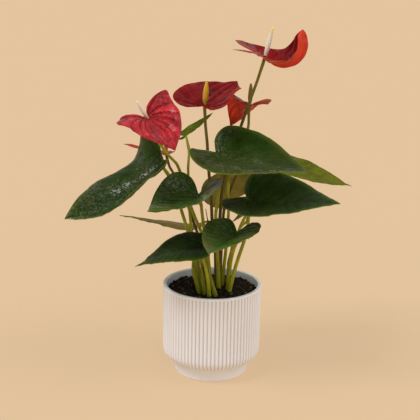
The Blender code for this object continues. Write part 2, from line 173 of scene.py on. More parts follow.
# Each leaf with its stalk, its look and its material slot
LEAVES = {
    "leaf_upper_right": ("petiole_upper_right", "leaf_sheen", "leaf_dark"),
    "leaf_lower_right": ("petiole_lower_right", "leaf_dark", "leaf_dark"),
    "leaf_far_right": ("petiole_far_right", "leaf_light", "leaf_light"),
    "leaf_big_left": ("petiole_big_left", "leaf_sheen", "leaf_dark"),
    "leaf_mid_left": ("petiole_mid_left", "leaf_mottled", "leaf_dark"),
    "leaf_front": ("petiole_front", "leaf_mottled", "leaf_dark"),
    "leaf_low_left": ("petiole_low_left", "leaf_dark", "leaf_dark"),
    "leaf_rear": ("petiole_rear", "leaf_olive", "leaf_underside"),
    "leaf_edge_left": ("petiole_edge_left", "leaf_bronze", "leaf_light"),
    "leaf_young": ("petiole_young", "leaf_light", "leaf_light"),
    "leaf_small": ("petiole_small", "leaf_olive", "leaf_underside"),
}

# Each spathe with its stalk and its look
SPATHES = {
    "spathe_left": ("peduncle_left", "spathe_bright"),
    "spathe_middle": ("peduncle_middle", "spathe_deep"),
    "spathe_tall": ("peduncle_tall", "spathe_deep"),
    "spathe_right": ("peduncle_right", "spathe_deep"),
    "spathe_rear": ("peduncle_rear", "spathe_bronze"),
}

# Look and material slot of each flower stalk
PEDUNCLE_LOOKS = {
    "peduncle_left": ("petiole", "petiole"),
    "peduncle_middle": ("peduncle", "peduncle"),
    "peduncle_tall": ("peduncle_olive", "peduncle"),
    "peduncle_right": ("peduncle", "peduncle"),
    "peduncle_rear": ("peduncle", "peduncle"),
}

# Each spadix with its spathe and its material slot
SPADICES = {
    "spadix_left": ("spathe_left", "spadix_cream"),
    "spadix_middle": ("spathe_middle", "spadix_yellow"),
    "spadix_tall": ("spathe_tall", "spadix_cream"),
    "spadix_right": ("spathe_right", "spadix_olive"),
    "spadix_rear": ("spathe_rear", "spadix_yellow"),
}

# Look of each sheath and shoot, which is its material slot too
SHOOTS = {
    "sheath_left": "sheath",
    "sheath_middle": "sheath",
    "sheath_front": "sheath",
    "bract_red": "shoot",
    "shoot_red": "shoot",
}


def length(name, words, default, most=0.05):
    return FloatProperty(
        name=name, description=words, default=default, min=0.0, max=most, unit="LENGTH"
    )


def colour(name, words, default):
    return FloatVectorProperty(
        name=name, description=words, default=default, size=3, min=0.0, max=1.0, subtype="COLOR"
    )


class AnthuriumSizes(bpy.types.PropertyGroup):
    """Sizes that a user may change."""

    rib_count: IntProperty(
        name="Ribs", description="Number of ribs round the pot", default=80, min=12, max=200
    )
    rib_depth: length("Rib depth", "Depth of the grooves between the pot's ribs", 0.0016)
    rim_margin: length("Rim margin", "Plain band between the ribs and the rim", 0.0024)
    soil_lump: length("Soil lumps", "Height of the lumps in the soil", 0.0062)
    soil_mound: length("Soil mound", "How far the soil rises towards the stalks", 0.0045)
    chip_size: length("Soil bits", "Size of the largest bits on the soil", 0.0042)
    chip_count: IntProperty(
        name="Bits", description="Number of bits on the soil", default=420, min=0, max=2000
    )
    leaf_thickness: length("Leaf thickness", "Thickness of a leaf at its middle", 0.0008)
    vein_depth: length("Vein depth", "How far veins sink into a leaf", 0.00028)
    leaf_quilt: length("Leaf quilting", "How far a leaf bulges between veins", 0.00022)
    spathe_quilt: length("Spathe quilting", "How far a spathe bulges between veins", 0.00150)
    rim_wave: length("Edge wave", "Height of the small waves along a blade's edge", 0.0011)


class AnthuriumColours(bpy.types.PropertyGroup):
    """Colours that a user may change."""

    pot: colour("Pot", "Glaze of the pot", (0.860, 0.880, 0.945))
    soil: colour("Soil", "Damp soil", (0.014, 0.010, 0.006))
    leaf: colour("Leaf", "Upper face of a grown leaf", (0.010, 0.0265, 0.0022))
    leaf_vein: colour("Leaf veins", "Veins of a grown leaf", (0.050, 0.100, 0.014))
    leaf_back: colour("Leaf back", "Lower face of a grown leaf", (0.070, 0.120, 0.020))
    leaf_light: colour("Young leaf", "A young leaf with light through it", (0.150, 0.230, 0.020))
    bronze: colour("Bronze leaf", "Upper face of a bronzed leaf", (0.300, 0.225, 0.045))
    rim: colour("Leaf edge", "Thin pale edge of a leaf", (0.170, 0.210, 0.030))
    spathe: colour("Spathe", "Face of a young spathe", (0.400, 0.007, 0.014))
    spathe_deep: colour("Deep spathe", "Face of a grown spathe", (0.160, 0.0035, 0.005))
    spathe_back: colour("Spathe back", "Outside of a spathe", (0.520, 0.040, 0.018))
    stalk: colour("Leaf stalk", "Leaf stalks", (0.560, 0.580, 0.024))
    stalk_red: colour("Flower stalk", "Flower stalks", (0.110, 0.026, 0.010))
    cream: colour("Cream spadix", "A young spadix", (0.960, 0.900, 0.760))
    yellow: colour("Yellow spadix", "A grown spadix", (0.740, 0.430, 0.016))
    olive: colour("Olive spadix", "An old spadix", (0.190, 0.120, 0.022))
    shoot: colour("Shoot", "Red shoots", (0.330, 0.040, 0.022))
    floor: colour("Floor", "Plain floor", (0.745, 0.539, 0.337))


def sizes():
    return bpy.context.scene.anthurium_sizes


def colours():
    return bpy.context.scene.anthurium_colours


# ---------------------------------------------------------------- reading the frame


def welded(node):
    """Points and triangles of a frame node, with each point once."""
    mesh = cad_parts[node].data
    rows = np.empty(len(mesh.vertices) * 3)
    mesh.vertices.foreach_get("co", rows)
    points, index = np.unique(np.round(rows.reshape(-1, 3), 6), axis=0, return_inverse=True)
    corners = np.empty(len(mesh.loops), int)
    mesh.loops.foreach_get("vertex_index", corners)
    return points, index.reshape(-1)[corners].reshape(-1, 3)


def closed_loop(layer, near):
    """The points of one ring in order round it."""
    loop = [min(layer)]
    while len(loop) < len(layer):
        ahead = (near[loop[-1]] & layer) - set(loop)
        if not ahead:
            raise RuntimeError("a blade's ring isn't one closed loop")
        loop.append(min(ahead))
    return loop


def in_step(ring, loop, points):
    """The loop turned, and reversed if need be, so that each point stands outside its ring point."""
    best = None
    for way in (loop, loop[::-1]):
        for shift in range(len(way)):
            turned = way[shift:] + way[:shift]
            cost = ((points[ring] - points[turned]) ** 2).sum()
            if best is None or cost < best[0]:
                best = (cost, turned)
    return best[1]


def blade_spokes(node, stalk):
    """Spokes on a blade's upper face from the stalk's point out to the edge, the tip's spoke first."""
    points, faces = welded(node)
    near = [set() for _ in points]
    for face in faces:
        for corner in face:
            near[corner].update(int(c) for c in face)
    poles = sorted(range(len(points)), key=lambda i: -len(near[i]))[:2]
    stem = welded(stalk)[0]
    pole = max(poles, key=lambda i: np.linalg.norm(stem - points[i], axis=1).min())
    after = {}
    for a, b, c in faces:
        for p, q, r in ((a, b, c), (b, c, a), (c, a, b)):
            if p == pole:
                after[int(q)] = int(r)
    ring = [min(after)]
    while after[ring[-1]] != ring[0]:
        ring.append(after[ring[-1]])
    rings = [ring]
    seen = {pole, *ring}
    for _ in range((len(points) // 2 - 1) // len(ring) - 1):
        layer = {n for v in rings[-1] for n in near[v]} - seen
        seen |= layer
        rings.append(in_step(rings[-1], closed_loop(layer, near), points))
    grid = np.stack([np.repeat(points[pole][None], len(ring), 0)] + [points[r] for r in rings], 1)
    reach = np.linalg.norm(np.diff(grid, axis=1), axis=2).sum(1)
    return np.roll(grid, -int(reach.argmax()), axis=0)


def smooth(rows, spots):
    """Values at fractional row numbers of a smooth curve through all rows."""
    ends = (3 * rows[0] - 3 * rows[1] + rows[2], 3 * rows[-1] - 3 * rows[-2] + rows[-3])
    held = np.concatenate([ends[0][None], rows, ends[1][None]])
    i = np.clip(np.floor(spots).astype(int), 0, len(rows) - 2)
    t = (spots - i).reshape((-1,) + (1,) * (rows.ndim - 1))
    a, b, c, d = (held[i + k] for k in range(4))
    return 0.5 * (2 * b + (c - a) * t + (2 * a - 5 * b + 4 * c - d) * t**2 + (3 * b - a - 3 * c + d) * t**3)


def round_half(rows):
    """Finer rows round a blade. Each half is smoothed alone, so the tip and the notch stay sharp."""
    half = len(rows) // 2
    wrapped = np.concatenate([rows, rows[:1]])
    spots = np.arange(half * SPAN_STEPS) / SPAN_STEPS
    return np.concatenate([smooth(wrapped[: half + 1], spots), smooth(wrapped[half:], spots)])


def unit(rows):
    return rows / np.maximum(np.linalg.norm(rows, axis=-1, keepdims=True), 1e-12)


def slice_of(points, edges, centre, ahead, near):
    """Middle and radius of a rod where a plane cuts it, or None past its end."""
    side = (points - centre) @ ahead
    a, b = side[edges[:, 0]], side[edges[:, 1]]
    cut = a * b < 0
    share = (a[cut] / (a[cut] - b[cut]))[:, None]
    hits = points[edges[cut, 0]] * (1 - share) + points[edges[cut, 1]] * share
    hits = hits[np.linalg.norm(hits - centre, axis=1) < near]
    if len(hits) < 4:
        return None
    across = unit(np.cross(ahead, (0.31, 0.95, 0.05)))
    up = np.cross(ahead, across)
    flat = np.stack([(hits - centre) @ across, (hits - centre) @ up], 1)
    flat = flat[np.argsort(np.arctan2(*(flat - flat.mean(0)).T))]
    after = np.roll(flat, -1, axis=0)
    cross = flat[:, 0] * after[:, 1] - flat[:, 1] * after[:, 0]
    area = cross.sum() / 2
    if abs(area) < 1e-9:
        return None
    middle = ((flat + after) * cross[:, None]).sum(0) / (6 * area)
    return centre + middle[0] * across + middle[1] * up, math.sqrt(abs(area) / math.pi)


def rod_line(node, start, ahead, step=0.003, near=0.008):
    """Middles and radii along a rod of the frame, from one end to the other."""
    points, faces = welded(node)
    edges = np.unique(np.sort(faces[:, [0, 1, 1, 2, 2, 0]].reshape(-1, 2), axis=1), axis=0)
    centre = np.array(start) + np.array(ahead) * step * 0.3
    ahead = unit(np.array(ahead, float))
    middles, radii = [], []
    while True:
        found = slice_of(points, edges, centre, ahead, near)
        if found is None:
            break
        middle, radius = found
        if middles:
            ahead = unit(0.5 * ahead + 0.5 * unit(middle - middles[-1]))
        middles.append(middle)
        radii.append(radius)
        centre = middle + ahead * step
    if len(middles) < 4:
        raise RuntimeError(f"{node} can't be followed as a rod")
    return np.array(middles), np.array(radii)


def lowest_point(node):
    points = welded(node)[0]
    return points[points[:, 2] < points[:, 2].min() + 0.0006].mean(0)


# ---------------------------------------------------------------- making meshes


def add_piece(name, points, faces, materials, slot, *nodes, looks=None):
    """A smooth mesh that rides on the frame and stands for its nodes."""
    mesh = bpy.data.meshes.new(name)
    mesh.from_pydata(np.asarray(points).tolist(), [], faces)
    mesh.validate()
    mesh.polygons.foreach_set("use_smooth", [True] * len(mesh.polygons))
    for one in materials:
        mesh.materials.append(one)
    if looks is not None:
        mesh.polygons.foreach_set("material_index", looks)
    piece = bpy.data.objects.new(name, mesh)
    bpy.context.scene.collection.objects.link(piece)
    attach(piece, "root")
    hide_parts(*nodes)
    return piece


def set_map(mesh, name, flat):
    """A named map from one pair of numbers for each point."""
    corners = np.empty(len(mesh.loops), int)
    mesh.loops.foreach_get("vertex_index", corners)
    layer = mesh.uv_layers.new(name=name)
    layer.data.foreach_set("uv", np.asarray(flat, float)[corners].ravel())


def set_number(mesh, name, values):
    mesh.attributes.new(name, "FLOAT", "POINT").data.foreach_set("value", np.asarray(values, np.float32))


def fan_and_rings(first, rings, around):
    """Faces of a disc: a fan round its middle point, then rings of four-sided faces."""
    faces = [(first, first + 1 + j, first + 1 + (j + 1) % around) for j in range(around)]
    for k in range(rings - 1):
        low = first + 1 + k * around
        high = low + around
        for j in range(around):
            after = (j + 1) % around
            faces.append((low + j, high + j, high + after, low + after))
    return faces


def closed_faces(rings, around, downward=False):
    """Outward faces of a closed form made of rings, with a point in the middle of each end."""
    last = 1 + rings * around
    first = last - around
    faces = fan_and_rings(0, rings, around)
    faces += [(last, first + (j + 1) % around, first + j) for j in range(around)]
    return faces if downward else [face[::-1] for face in faces]


def circle(radius, count):
    """Points at even steps round a circle, as x and y."""
    turns = [2 * math.pi * j / count for j in range(count)]
    return [(radius * math.cos(turn), radius * math.sin(turn)) for turn in turns]


def point_normals(points, faces):
    normals = np.zeros_like(points)
    for face in faces:
        a, b, c = (points[face[i]] for i in (0, 1, -1))
        normals[list(face)] += np.cross(b - a, c - a)
    return unit(normals)


def off_step(value, step):
    """How far a value is from the nearest multiple of a step."""
    return np.abs(value / step - np.round(value / step)) * step


def leaf_lines(x, y):
    """Distance to the nearest main vein of a leaf, as a share of its length."""
    side = np.abs(y)
    start = x - LATERAL_LEAN * side - LATERAL_BEND * side**2
    reach = np.hypot(x, y)
    turn = np.arctan2(side, x) + FAN_BEND * reach - FAN_START
    lateral = off_step(start, LATERAL_STEP) * LATERAL_SLANT
    fan = off_step(turn, FAN_STEP) * reach
    return np.minimum(np.where(start > 0, lateral, fan), np.where(x > 0, side, 1.0))


def spathe_lines(x, y):
    """Distance to the nearest arching vein of a spathe, as a share of its length."""
    side = np.abs(y)
    rest = ARC_END - x
    arc = np.arctan2(side, x) + np.arctan2(side, rest)
    return off_step(arc, ARC_STEP) * np.hypot(x, y) * np.hypot(rest, y)


def lie_flat(spokes, reach):
    """Ends of the spokes on the flattened blade, in shares of its length, with x towards the tip."""
    arms = spokes[:, 1] - spokes[:, 0]
    up = unit(np.cross(arms, np.roll(arms, -1, axis=0)).sum(0))
    ahead = unit(arms[0] - up * (arms[0] @ up))
    turn = np.arctan2(arms @ np.cross(up, ahead), arms @ ahead)
    return np.stack([np.cos(turn), np.sin(turn)], 1) * (reach / reach[0])[:, None]


def edge_wave(phase, seed):
    """Height of the waves round a blade, from -1 to 1."""
    rng = random.Random(seed)
    return sum(np.sin(number * phase + rng.uniform(0, 2 * math.pi)) * part for number, part in EDGE_WAVES)


def ripples(flat, seed):
    """Height of the broad uneven ripples all over a blade, from -1 to 1."""
    return np.array([noise.noise(Vector((*(row * RIPPLE_SCALE), seed))) for row in flat])


def build_blade(node, stalk, lines, quilt, vein, materials, slot, seed):
    """One leaf or spathe: a thin closed sheet with sunken veins, bulges between them and a waved edge."""
    spokes = blade_spokes(node, stalk)
    reach = np.linalg.norm(np.diff(spokes, axis=1), axis=2).sum(1)
    size = reach[0]
    outline = round_half(lie_flat(spokes, reach))
    ring_share = np.arange(1, BLADE_RINGS + 1) / BLADE_RINGS
    fine = smooth(spokes.transpose(1, 0, 2), ring_share * (spokes.shape[1] - 1)).transpose(1, 0, 2)
    fine = round_half(fine)
    around = len(fine)
    upper = np.concatenate([spokes[:1, 0], fine.transpose(1, 0, 2).reshape(-1, 3)])
    flat = np.concatenate([[[0, 0]], (ring_share[:, None, None] * outline[None]).reshape(-1, 2)])
    tangent = unit(np.roll(outline, -1, 0) - np.roll(outline, 1, 0))
    width = np.abs(outline[:, 0] * tangent[:, 1] - outline[:, 1] * tangent[:, 0])
    rim = np.concatenate([[0.3], ((1 - ring_share)[:, None] * width[None]).ravel()])
    share = np.concatenate([[0.0], np.repeat(ring_share, around)])
    faces = fan_and_rings(0, BLADE_RINGS, around)
    normals = point_normals(upper, faces)
    gap = lines(flat[:, 0], flat[:, 1])
    relief = min(size / FULL_RELIEF, 1.0)
    sunk = relief * vein * np.exp(-((gap / VEIN_WIDTH) ** 2)) * np.clip(share * 6, 0, 1)
    fade = np.clip(share * 4, 0, 1) * np.clip(rim / 0.05, 0.15, 1)
    bulge = relief * quilt * fade * (1 - np.exp(-((gap / BULGE_REACH) ** 2)))
    phase = np.concatenate([[0.0], np.tile(2 * math.pi * np.arange(around) / around, BLADE_RINGS)])
    wave = edge_wave(phase, seed) * sizes().rim_wave * min(size / FULL_WAVES, 1.0) * share**3
    ripple = relief * RIPPLE_HEIGHT * ripples(flat, seed) * np.clip(share * 3, 0, 1)
    thick = RIM_THICKNESS + (1 - RIM_THICKNESS) * np.clip(rim / 0.12, 0, 1)
    thick = thick * sizes().leaf_thickness * min(size / FULL_THICKNESS, 1.0)
    top = upper + normals * (bulge - sunk + wave + ripple)[:, None]
    below = top - normals * (thick + sunk * UNDER_RIDGE)[:, None]
    total = len(top)
    edge = total - around
    lower_faces = [tuple(total + v for v in face[::-1]) for face in faces]
    pairs = [(edge + j, edge + (j + 1) % around) for j in range(around)]
    rim_faces = [(a, total + a, total + b, b) for a, b in pairs]
    looks = [0] * len(faces) + [1] * (len(lower_faces) + len(rim_faces))
    piece = add_piece(
        f"{node}_sheet",
        np.concatenate([top, below]),
        faces + lower_faces + rim_faces,
        materials,
        slot,
        node,
        looks=looks,
    )
    set_map(piece.data, "blade", np.concatenate([flat, flat]))
    set_number(piece.data, "rim", np.concatenate([rim, rim]) * size)


def tube_frames(middles):
    """Across and up directions that turn as little as they can along a line."""
    across = None
    rows = []
    for way in unit(np.gradient(middles, axis=0)):
        if across is None:
            across = unit(np.cross(way, (0.0, 1.0, 0.12)))
        across = unit(across - way * (across @ way))
        rows.append((across, np.cross(way, across)))
    return np.array(rows).transpose(1, 0, 2)


def build_tube(name, node, middles, radii, shape, look, slot, rings=TUBE_RINGS, sides=TUBE_SIDES):
    """A closed tube along a line. shape gives its radius factor at a share along and an angle round."""
    spots = np.linspace(0, len(middles) - 1, rings)
    line = smooth(middles, spots)
    wide = np.interp(spots, np.arange(len(radii)), radii)
    across, up = tube_frames(line)
    along = np.repeat(np.linspace(0, 1, rings), sides)
    angle = np.tile(2 * math.pi * np.arange(sides) / sides, rings)
    ring = np.repeat(np.arange(rings), sides)
    out = np.cos(angle)[:, None] * across[ring] + np.sin(angle)[:, None] * up[ring]
    points = line[ring] + out * (wide[ring] * shape(along, angle))[:, None]
    points = np.concatenate([line[:1], points, line[-1:]])
    piece = add_piece(name, points, closed_faces(rings, sides), [bpy.data.materials[look]], slot, node)
    along = np.concatenate([[0], along, [1]])
    turn = np.concatenate([[0], angle / (2 * math.pi), [0]])
    span = np.linalg.norm(np.diff(line, axis=0), axis=1).sum()
    set_map(piece.data, "tube", np.stack([turn, along], 1))
    set_number(piece.data, "along", along * span)
    return piece


def pulse(value, middle, width):
    return np.exp(-(((value - middle) / width) ** 2))


def petiole_shape(along, angle):
    """Broad sheathing base, a shallow groove and a swollen joint under the blade."""
    base = 1 + 0.45 * np.exp(-along / 0.05) * (1 + 0.35 * np.cos(2 * angle))
    joint = 0.26 * pulse(along, 0.93, 0.028) - 0.06 * pulse(along, 0.885, 0.012)
    groove = -0.16 * pulse(np.angle(np.exp(1j * (angle - 1.6))), 0, 0.42) * np.clip(along * 6, 0, 1)
    ridges = 0.015 * np.cos(9 * angle)
    return base + joint + groove + ridges


def peduncle_shape(along, angle):
    """A round stalk, a little wider at both ends."""
    return 1 + 0.35 * np.exp(-along / 0.04) + 0.14 * pulse(along, 0.985, 0.03) + 0.012 * np.cos(8 * angle)


def sheath_shape(along, angle):
    """A ribbed papery sheath, folded at one side."""
    fold = -0.30 * pulse(np.angle(np.exp(1j * (angle - 4.4))), 0, 0.30)
    return 1 + 0.06 * np.cos(9 * angle) + fold + 0.05 * np.sin(14 * along + 2 * angle)


def spadix_shape(along, angle):
    """Rows of small round flowers that wind up the spadix."""
    rise = 2 * math.pi * BEAD_TURNS * along
    beads = (0.5 + 0.5 * np.cos(7 * angle + rise)) * (0.5 + 0.5 * np.cos(6 * angle - rise))
    fade = np.clip((1 - along) * 8, 0, 1) * np.clip(along * 14, 0, 1)
    return 1 + BEAD_SHARE * (beads - BEAD_LEVEL) * fade


# ---------------------------------------------------------------- materials


class Tree:
    """Short ways to add and join nodes in one node tree."""

    def __init__(self, tree):
        self.tree = tree

    def set(self, socket, value):
        if isinstance(value, bpy.types.NodeSocket):
            self.tree.links.new(value, socket)
        elif isinstance(value, tuple) and len(value) == 3 and socket.type == "RGBA":
            socket.default_value = (*value, 1.0)
        else:
            socket.default_value = value

    def set_all(self, node, values):
        for name, value in values.items():
            self.set(node.inputs[name], value)

    def add(self, kind, **values):
        node = self.tree.nodes.new(kind)
        for key, value in values.items():
            if key in node.inputs.keys():
                self.set(node.inputs[key], value)
            else:
                setattr(node, key, value)
        return node

    def math(self, operation, *values):
        node = self.add("ShaderNodeMath", operation=operation)
        for socket, value in zip(node.inputs, values):
            self.set(socket, value)
        return node.outputs[0]

    def times(self, a, b):
        return self.math("MULTIPLY", a, b)

    def plus(self, a, b):
        return self.math("ADD", a, b)

    def minus(self, a, b):
        return self.math("SUBTRACT", a, b)

    def times_plus(self, a, b, c):
        return self.math("MULTIPLY_ADD", a, b, c)

    def hypot(self, a, b):
        return self.math("SQRT", self.plus(self.times(a, a), self.times(b, b)))

    def off_step(self, value, step):
        """How far a value is from the nearest multiple of a step, as a share of the step."""
        return self.math("PINGPONG", self.math("DIVIDE", value, step), 0.5)

    def fit(self, value, low, high, to_low=0.0, to_high=1.0):
        """The value moved smoothly from one range to another."""
        node = self.add("ShaderNodeMapRange", interpolation_type="SMOOTHSTEP")
        ends = {"From Min": low, "From Max": high, "To Min": to_low, "To Max": to_high}
        self.set_all(node, {"Value": value, **ends})
        return node.outputs[0]

    def mix(self, share, low, high):
        node = self.add("ShaderNodeMix", data_type="RGBA")
        self.set(node.inputs[0], share)
        self.set(node.inputs[6], low)
        self.set(node.inputs[7], high)
        return node.outputs[2]

    def noise(self, place, scale, detail=3.0, rough=0.55):
        node = self.add("ShaderNodeTexNoise")
        self.set_all(node, {"Vector": place, "Scale": scale, "Detail": detail, "Roughness": rough})
        return node.outputs[0]

    def net(self, place, scale):
        """Distance to the lines of an uneven net."""
        node = self.add("ShaderNodeTexVoronoi", feature="DISTANCE_TO_EDGE", Scale=scale, Vector=place)
        return node.outputs["Distance"]

    def cells(self, place, scale):
        """Distance to the middle of the nearest cell."""
        return self.add("ShaderNodeTexVoronoi", Vector=place, Scale=scale).outputs["Distance"]

    def group(self, name, **values):
        node = self.tree.nodes.new("ShaderNodeGroup")
        node.node_tree = bpy.data.node_groups[name]
        self.set_all(node, {key.replace("_", " "): value for key, value in values.items()})
        return node.outputs

    def place(self):
        return self.add("ShaderNodeTexCoord").outputs["Object"]

    def flat_map(self, name):
        """A named map, whole and as its two numbers."""
        where = self.add("ShaderNodeUVMap", uv_map=name).outputs[0]
        return where, self.add("ShaderNodeSeparateXYZ", Vector=where).outputs

    def number(self, name):
        return self.add("ShaderNodeAttribute", attribute_name=name).outputs["Fac"]

    def bump(self, height, distance):
        node = self.add("ShaderNodeBump")
        self.set_all(node, {"Height": height, "Distance": distance, "Strength": 1.0})
        return node.outputs[0]


def new_group(name, inputs, outputs):
    """An empty node group with number sockets. Gives its Tree, its inputs and where its outputs go."""
    old = bpy.data.node_groups.get(name)
    if old:
        bpy.data.node_groups.remove(old)
    tree = bpy.data.node_groups.new(name, "ShaderNodeTree")
    for label, default in inputs:
        socket = tree.interface.new_socket(label, in_out="INPUT", socket_type="NodeSocketFloat")
        socket.default_value = default
    for label in outputs:
        tree.interface.new_socket(label, in_out="OUTPUT", socket_type="NodeSocketFloat")
    made = Tree(tree)
    return made, made.add("NodeGroupInput").outputs, made.add("NodeGroupOutput").inputs


def vein_group():
    """Leaf veins: side veins off the midrib and a fan round the stalk's point."""
    g, given, out = new_group("leaf veins", [("Width", 0.008)], ["Veins", "Fine", "Puff"])
    where, flat = g.flat_map("blade")
    x, side = flat[0], g.math("ABSOLUTE", flat[1])
    lean = g.times(side, g.times_plus(side, LATERAL_BEND, LATERAL_LEAN))
    start = g.minus(x, lean)
    reach = g.hypot(x, side)
    turn = g.plus(g.math("ARCTAN2", side, x), g.times_plus(reach, FAN_BEND, -FAN_START))
    lateral = g.times(g.off_step(start, LATERAL_STEP), LATERAL_STEP * LATERAL_SLANT)
    fan = g.times(g.off_step(turn, FAN_STEP), g.times(reach, FAN_STEP))
    front = g.math("GREATER_THAN", start, 0.0)
    found = g.plus(g.times(lateral, front), g.times(fan, g.minus(1.0, front)))
    midrib = g.plus(side, g.math("LESS_THAN", x, 0.0))
    taper = g.times(given["Width"], g.fit(reach, 0.1, 1.0, 1.0, 0.45))
    line = g.fit(found, taper, g.times(taper, 0.25))
    rib = g.fit(midrib, g.times(taper, 1.7), g.times(taper, 0.6))
    faded = g.times(line, g.fit(reach, 0.85, 0.05, 0.25, 1.0))
    g.set(out["Veins"], g.math("MAXIMUM", faded, rib))
    small = g.times(g.fit(g.off_step(start, LATERAL_STEP / 4), 0.10, 0.02), 0.6)
    g.set(out["Fine"], g.math("MAXIMUM", small, g.fit(g.net(where, 46.0), 0.10, 0.02)))
    g.set(out["Puff"], g.fit(found, 0.0, 0.045))


def arc_group():
    """Spathe veins: arcs from the stalk's point to the tip, with a fine net between them."""
    g, given, out = new_group("spathe veins", [("Width", 0.010)], ["Veins", "Fine", "Puff"])
    where, flat = g.flat_map("blade")
    x, side = flat[0], g.math("ABSOLUTE", flat[1])
    rest = g.minus(ARC_END, x)
    arc = g.plus(g.math("ARCTAN2", side, x), g.math("ARCTAN2", side, rest))
    spread = g.times(g.times(g.hypot(x, side), g.hypot(rest, side)), ARC_STEP)
    found = g.times(g.off_step(arc, ARC_STEP), spread)
    g.set(out["Veins"], g.fit(found, given["Width"], g.times(given["Width"], 0.25)))
    g.set(out["Fine"], g.fit(g.net(where, 15.0), 0.12, 0.02))
    g.set(out["Puff"], g.fit(found, 0.0, 0.05))


def mottle_group():
    """Soft patches and finer grain, from 0 to 1."""
    g, given, out = new_group("mottle", [("Scale", 60.0)], ["Value", "Grain"])
    where = g.place()
    broad = g.noise(where, given["Scale"], 4.0, 0.6)
    g.set(out["Value"], g.fit(broad, 0.5 - MOTTLE_SPREAD, 0.5 + MOTTLE_SPREAD))
    g.set(out["Grain"], g.noise(where, g.times(given["Scale"], 9.0), 2.0, 0.6))


def speckle_group():
    """Sparse small spots, such as dust, pores and pale flecks."""
    g, given, out = new_group("speckle", [("Scale", 900.0), ("Size", 0.16)], ["Spots"])
    where = g.place()
    spot = g.fit(g.cells(where, given["Scale"]), given["Size"], g.times(given["Size"], 0.5))
    g.set(out["Spots"], g.times(spot, g.fit(g.noise(where, 55.0, 3.0, 0.6), 0.48, 0.62)))


def rim_group():
    """A thin line and a wider soft band along a blade's edge."""
    g, given, out = new_group("edge line", [("Width", 0.0007)], ["Line", "Band"])
    rim = g.number("rim")
    g.set(out["Line"], g.fit(rim, given["Width"], g.times(given["Width"], 0.4)))
    g.set(out["Band"], g.fit(rim, g.times(given["Width"], 12.0), 0.0))


def streak_group():
    """Long streaks up a stalk, and its share of the way up."""
    g, given, out = new_group("stalk streaks", [("Count", 5.0)], ["Streaks", "Along"])
    flat = g.flat_map("tube")[1]
    turn = g.times(flat[0], 2 * math.pi)
    rise = g.times(g.number("along"), 16.0)
    where = g.add("ShaderNodeCombineXYZ", X=g.math("COSINE", turn), Y=g.math("SINE", turn), Z=rise)
    g.set(out["Streaks"], g.fit(g.noise(where.outputs[0], given["Count"], 3.0, 0.6), 0.34, 0.66))
    g.set(out["Along"], flat[1])


def sheen_patch_group():
    """Masks of broken pale patches of painted sheen, and of broad patches of painted brown-grey reflection.
    """
    inputs = [("Patch Scale", 15.0), ("Grain Scale", 330.0), ("Cover", 0.0)]
    g, given, out = new_group("sheen patches", inputs, ["Bloom", "Brown Reflection"])
    where = g.place()
    # Pale patches of painted sheen, broken by a fine crackle; the same mask sets where the real coat shines
    patch = g.plus(g.noise(where, given["Patch Scale"], 3.0, 0.55), given["Cover"])
    crackle = g.noise(where, given["Grain Scale"], 4.0, 0.7)
    g.set(out["Bloom"], g.times(g.fit(patch, 0.44, 0.62), g.fit(crackle, 0.46, 0.60)))
    # Broad patches of painted brown-grey reflection, from the same noise at another place
    elsewhere = g.add("ShaderNodeVectorMath", operation="ADD")
    g.set(elsewhere.inputs[0], where)
    elsewhere.inputs[1].default_value = (0.4, 0.7, 0.2)
    brown_reflection = g.noise(elsewhere.outputs[0], given["Patch Scale"], 4.0, 0.65)
    g.set(out["Brown Reflection"], g.fit(brown_reflection, 0.44, 0.62))


def material(name):
    """A fresh material of that name, its Tree and its shader."""
    old = bpy.data.materials.get(name)
    if old:
        bpy.data.materials.remove(old)
    made = bpy.data.materials.new(name)
    made.use_nodes = True
    return made, Tree(made.node_tree), made.node_tree.nodes["Principled BSDF"]


def tinted(base, factor):
    """A colour made lighter or darker."""
    return tuple(min(1.0, c * factor) for c in base)


def blended(one, other, share):
    """A colour between two, with that share of the other."""
    return tuple((1 - share) * a + share * b for a, b in zip(one, other))


def finish(tree, shader, base, rough, normal=None, **plain):
    """Joins what changes over the surface, and sets the shader's plain numbers."""
    tree.set_all(shader, {"Base Color": base, "Roughness": rough})
    if normal is not None:
        tree.set(shader.inputs["Normal"], normal)
    for key, value in plain.items():
        shader.inputs[key.replace("_", " ")].default_value = value


